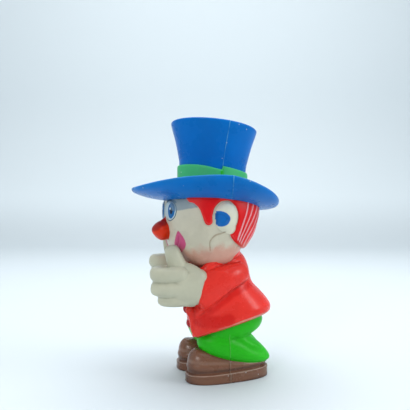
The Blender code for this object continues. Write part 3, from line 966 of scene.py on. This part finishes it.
def makeBody():
    casting = [("coat", ovalBody(coat["rows"], sides=110, steps=5, reshape=cutaway))]
    half = coat["collarFront"] + coat["collar"]
    ring = half + [(-x, y, z) for x, y, z in half[-2::-1]]
    collar = [(*point, coat["collarThick"]) for point in ring]
    casting.append(("coat", limb(collar, depth=0.2, steps=6, sides=24)))
    for rows in coat["edges"]:
        casting.append(("coat", limb(rows, steps=4)))
    for x, y, z in coat["buttons"]:
        radius = coat["buttonRadius"]
        casting.append(("bow", ball((x, y, z), (radius, radius * 0.6, radius))))
    for side in (-1, 1):
        casting.append(("bow", limb(moved(coat["bow"], side), depth=0.3, steps=3)))
    casting.append(("bow", ball(coat["knot"], coat["knotSize"])))
    castArm(casting, arms["left"])
    castArm(casting, arms["right"])
    casting.append(("trouser", ovalBody(trousers["seat"], power=2.3)))
    for side in (-1, 1):
        leg = ovalBody(trousers["leg"], x=side * trousers["legX"], power=2.3)
        if side < 0:
            bmesh.ops.translate(leg, vec=(0, trousers["rightBack"], 0), verts=leg.verts[:])
        casting.append(("trouser", leg))
    for _, form in casting:
        bmesh.ops.recalc_face_normals(form, faces=form.faces[:])
    bm = moulded(casting, figure["bodyStep"], 2)
    scoreSeam(bm, *trousers["seam"], lambda co: co.z < 9.3 and abs(co.x) > 4)
    surface = Surface(bm)
    p = surface.points
    nearest = nearestPaint(p, casting)
    for _, form in casting:
        form.free()
    isCoat, isTrouser = nearest["coat"] > 0, nearest["trouser"] > 0
    relief, coatShade = np.zeros(len(p)), np.zeros(len(p))
    for hand in (arms["left"], arms["right"]):
        side, back, up = hand["side"], hand["back"] * 0.6, hand["up"] * 0.6
        under = moved(coat["underSleeve"], side, back, up)
        relief -= crease(p, under, coat["underSleeveSize"])
        relief += crease(p, moved(under, up=0.6), coat["sleeveRollSize"])
        relief -= crease(p, moved(coat["underCollar"], side), coat["underCollarSize"])
        relief += crease(p, moved(coat["sleeveFold"], side, back, up), coat["sleeveFoldSize"])
        # a deeper red low on the sides and just below each sleeve, as painted shade
        coatShade = np.maximum(coatShade, stroke(p, moved(coat["coatShade"], side), 1.3, taper=0))
        coatShade = np.maximum(coatShade, 0.85 * stroke(p, moved(under, up=-0.9), 0.9, taper=0))
        knee = moved(trousers["fold"], side, trousers["rightBack"] * (side < 0))
        fold = crease(p, knee, trousers["foldSize"])
        fold -= crease(p, moved(knee, up=1.1), trousers["foldRollSize"])
        relief -= fold * isTrouser
    surface.push(relief * (isCoat | isTrouser))
    surface.update()
    surface.markHollows(6)
    surface.mark("coatShade", coatShade * isCoat)
    surface.mark("glove", nearest["glove"])
    surface.mark("bow", nearest["bow"])
    height, slope, curl = coat["hem"]
    untwisted = p[:, 1] - coat["twist"] * p[:, 0] * ramp(0, -4, p[:, 1])
    above = p[:, 2] - height - slope * untwisted - curl * untwisted**2
    openFront = (abs(p[:, 0]) < 3.4) & (p[:, 1] < 0)
    trouser = nearest["trouser"]
    trouser = np.where(openFront, trouser, np.minimum(trouser, coat["hemHalf"] - above))
    surface.mark("trouser", trouser)
    worn = 0.35 + 0.5 * ramp(-3, 3, p[:, 1])
    surface.mark("hem", worn * bell(above, coat["hemHalf"]) * (trouser < 0))
    material = paintedVinyl(
        "bodyVinyl",
        coat["red"],
        layers=[
            ("bow", coat["bowRed"], 0.36),
            ("trouser", trousers["green"], 0.38),
            ("glove", arms["cream"], 0.36),
        ],
        touches=[("coatShade", coat["shadeRed"], 0.9), ("hem", coat["rubbedPink"], 0.6)],
        ridge=0.7,
        hollow=0.5,
        specks=0.0,
    )
    return finishPiece(surface, "body", material)


# Shoes
shoe = {
    "length": 16.8,
    "halfWidth": 3.6,
    "x": 4.0,
    "y": 1.0,
    # height, inset, slope and how much shorter
    "sole": [
        (0, 0.16, 0, 0), (0.08, 0.04, 0, 0), (0.25, 0, 0, 0), (0.9, 0.05, 0.01, 0), (1.5, 0.02, 0.02, 0),
        (1.74, 0.0, 0.03, 0), (1.88, 0.08, 0.03, 0), (1.92, 0.35, 0.03, 0), (1.92, 1.5, 0.03, 0),
    ],
    "upper": [
        (1.2, 0.5, 0.02, 0), (1.95, 0.46, 0.02, 0), (2.4, 0.4, 0.01, 0), (2.85, 0.26, 0, 0),
        (3.15, 0.28, -0.01, 0), (3.5, 0.42, -0.03, 0.02), (3.9, 0.52, -0.07, 0.05),
        (4.4, 0.85, -0.12, 0.15), (4.8, 1.4, -0.16, 0.3), (5.02, 2.0, -0.18, 0.4), (5.08, 2.8, -0.18, 0.5),
    ],
    "rightBack": 0.35,
    "seam": ((0, 0.45, 0), (0, 1, 0)),
    "weltHeight": 1.83,
    "weltPale": (0.4, 0.3, 0.25),
    "brown": (0.175, 0.074, 0.04),
    "shadeBrown": (0.06, 0.024, 0.016),
    "highlightBrown": (0.34, 0.21, 0.15),
}


def shoeForm(rows, side, steps):
    rows = eased(rows, steps)
    bm = inOrder(circleStack(len(rows), 96))
    for v in bm.verts:
        z, inset, slope, shorter = rows[round(v.co.z)]
        c, s = around(2.5, math.atan2(v.co.y, v.co.x))
        x = (shoe["halfWidth"] - inset) * c * (1 - 0.08 * s)
        y = (shoe["length"] / 2 - inset - shorter) * s - shorter
        v.co = (side * shoe["x"] + x, shoe["y"] + y, max(z + slope * y, 0))
    bmesh.ops.recalc_face_normals(bm, faces=bm.faces[:])
    scoreSeam(bm, *shoe["seam"], lambda co: co.z > 0.05 and (co.x - side * shoe["x"]) * side > 2)
    if side < 0:
        bmesh.ops.translate(bm, vec=(0, shoe["rightBack"], 0), verts=bm.verts[:])
    return bm


def makeShoes():
    forms = []
    for side in (-1, 1):
        forms.append(shoeForm(shoe["sole"], side, 2))
        forms.append(shoeForm(shoe["upper"], side, 4))
    surface = Surface(joinForms(forms))
    surface.markHollows(4)
    y = surface.points[:, 1]
    height = surface.points[:, 2] - 0.03 * (y - shoe["y"])
    # a pale line along the sole's top edge, as painted highlight
    surface.mark("weltHighlight", 0.8 * bell(height - shoe["weltHeight"], 0.1))
    # painted highlight on the upper's shoulder and half way up the sole, painted shade in the groove, below
    # and at the toe
    surface.mark("shoeHighlight", 0.72 * bell(height - 3.75 + 0.09 * y, 0.5) + 0.4 * bell(height - 1.2, 0.4))
    shoeShade = bell(height - 2.45, 0.4) + bell(height, 0.5) + ramp(-5, -8, y)
    surface.mark("shoeShade", 0.75 * np.minimum(shoeShade, 1))
    material = paintedVinyl(
        "shoeVinyl",
        shoe["brown"],
        touches=[
            ("shoeShade", shoe["shadeBrown"], 0.6),
            ("shoeHighlight", shoe["highlightBrown"], 0.3),
            ("weltHighlight", shoe["weltPale"], 0.55),
        ],
        ridge=0.6,
        hollow=0.5,
        specks=0.03,
        rough=0.26,
        specular=0.45,
    )
    return finishPiece(surface, "shoes", material)


makeHat()
makeHead()
makeBody()
makeShoes()


# Studio
studio = {
    "paperColor": (0.70, 0.765, 0.80),
    "floorColor": (0.545, 0.597, 0.628),  # the part that lies flat
    "skyColor": (0.80, 0.88, 0.93),
    "skyStrength": 1.0,
    "roomStrength": 0.48,
    "roomTurns": (-0.75, 0.15),  # from the camera's own side, -1, to the side it looks at, 1
    "sweepFront": -1.2,
    "sweepBack": 0.35,
    "sweepBend": 0.2,
    "sweepRise": 0.6,
    "sweepWidth": 4,
}
lights = {
    # place, target, size, power and colour
    "paper": ((-0.08, 0.03, 0.5), (-0.55, 0.18, 0.1), 0.6, 2.2, (1, 1, 1)),
    "top": ((-0.08, 0.03, 0.3), (0, 0, 0.02), 0.28, 0.42, (1, 1, 1)),
    "side": ((0.16, 0.24, 0.14), (0, 0, 0.03), 0.12, 0.3, (1, 1, 1)),
    "front": ((0.2, -0.22, 0.16), (0, 0, 0.025), 0.1, 0.25, (1, 0.98, 0.95)),
}


def makeSweep():
    bm = bmesh.new()
    bend, back, width = studio["sweepBend"], studio["sweepBack"], studio["sweepWidth"]
    turns = [math.pi / 2 * k / 16 for k in range(17)]
    profile = [(studio["sweepFront"], 0)]
    profile += [(back + bend * math.sin(a), bend - bend * math.cos(a)) for a in turns]
    profile.append((back + bend, bend + studio["sweepRise"]))
    verts = [bm.verts.new((-width / 2, y, z)) for y, z in profile]
    edges = [bm.edges.new(pair) for pair in zip(verts, verts[1:])]
    made = bmesh.ops.extrude_edge_only(bm, edges=edges)["geom"]
    bmesh.ops.translate(bm, vec=(width, 0, 0), verts=[g for g in made if isinstance(g, bmesh.types.BMVert)])
    bmesh.ops.rotate(bm, matrix=Matrix.Rotation(math.radians(camera["azimuth"]), 3, "Z"), verts=bm.verts[:])
    bmesh.ops.recalc_face_normals(bm, faces=bm.faces[:])
    mesh = bpy.data.meshes.new("sweep")
    bm.to_mesh(mesh)
    bm.free()
    mesh.shade_smooth()
    material = bpy.data.materials.new("palePaper")
    material.use_nodes = True
    tree = material.node_tree
    surface = tree.nodes["Principled BSDF"]
    place = tree.nodes.new("ShaderNodeTexCoord").outputs["Object"]
    height = addNode(tree, "ShaderNodeSeparateXYZ", Vector=place).outputs[2]
    height = between(tree, height, 0.0, 0.06)
    color = blendColor(tree, height, (*studio["floorColor"], 1), (*studio["paperColor"], 1))
    tree.links.new(color, surface.inputs["Base Color"])
    surface.inputs["Roughness"].default_value = 0.7
    mesh.materials.append(material)
    sweep = bpy.data.objects.new("sweep", mesh)
    bpy.context.scene.collection.objects.link(sweep)


def makeLight(name, place, target, size, power, color):
    data = bpy.data.lights.new(name, "AREA")
    data.shape = "DISK"
    data.size = size
    data.energy = power
    data.color = color
    light = bpy.data.objects.new(name, data)
    light.location = place
    light.rotation_euler = (Vector(target) - Vector(place)).to_track_quat("-Z", "Y").to_euler()
    bpy.context.scene.collection.objects.link(light)


# Camera, as worked out from the photograph: level, close, a little in front of the left side
camera = {
    "azimuth": 72.0,  # degrees
    "distance": 95.1,  # mm from the parting line
    "height": 31.9,
    "aside": 2.15,
    "focalPixels": 465.0,
    "framePixels": 410.0,
    "horizonRow": 215.0,
}


def makeCamera():
    turn = math.radians(camera["azimuth"])
    toward = Vector((-math.sin(turn), math.cos(turn), 0))
    right = Vector((math.cos(turn), math.sin(turn), 0))
    place = -camera["distance"] * toward - camera["aside"] * right
    place += Vector((0, -figure["brimCentreY"], camera["height"]))
    data = bpy.data.cameras.new("camera")
    data.sensor_width = 36
    data.lens = camera["focalPixels"] / camera["framePixels"] * data.sensor_width
    data.shift_y = (camera["horizonRow"] - camera["framePixels"] / 2) / camera["framePixels"]
    data.clip_start = 0.005
    made = bpy.data.objects.new("camera", data)
    made.location = place * scale
    made.rotation_euler = toward.to_track_quat("-Z", "Y").to_euler()
    bpy.context.scene.collection.objects.link(made)
    bpy.context.scene.camera = made


def makeSurround():  # pale paper behind and at the sides, a darker room where the camera stands
    turn = math.radians(camera["azimuth"])
    world = bpy.data.worlds.new("studio")
    world.use_nodes = True
    tree = world.node_tree
    direction = tree.nodes.new("ShaderNodeTexCoord").outputs["Generated"]
    made = tree.nodes.new("ShaderNodeVectorMath")
    made.operation = "DOT_PRODUCT"
    tree.links.new(direction, made.inputs[0])
    made.inputs[1].default_value = (-math.sin(turn), math.cos(turn), 0)
    strengths = studio["roomStrength"], studio["skyStrength"]
    strength = between(tree, made.outputs["Value"], *studio["roomTurns"], *strengths)
    tree.nodes["Background"].inputs[0].default_value = (*studio["skyColor"], 1)
    tree.links.new(strength, tree.nodes["Background"].inputs[1])
    bpy.context.scene.world = world


makeSweep()
makeSurround()
for name, values in lights.items():
    makeLight(name, *values)
makeCamera()
bpy.context.scene.view_settings.view_transform = "Standard"
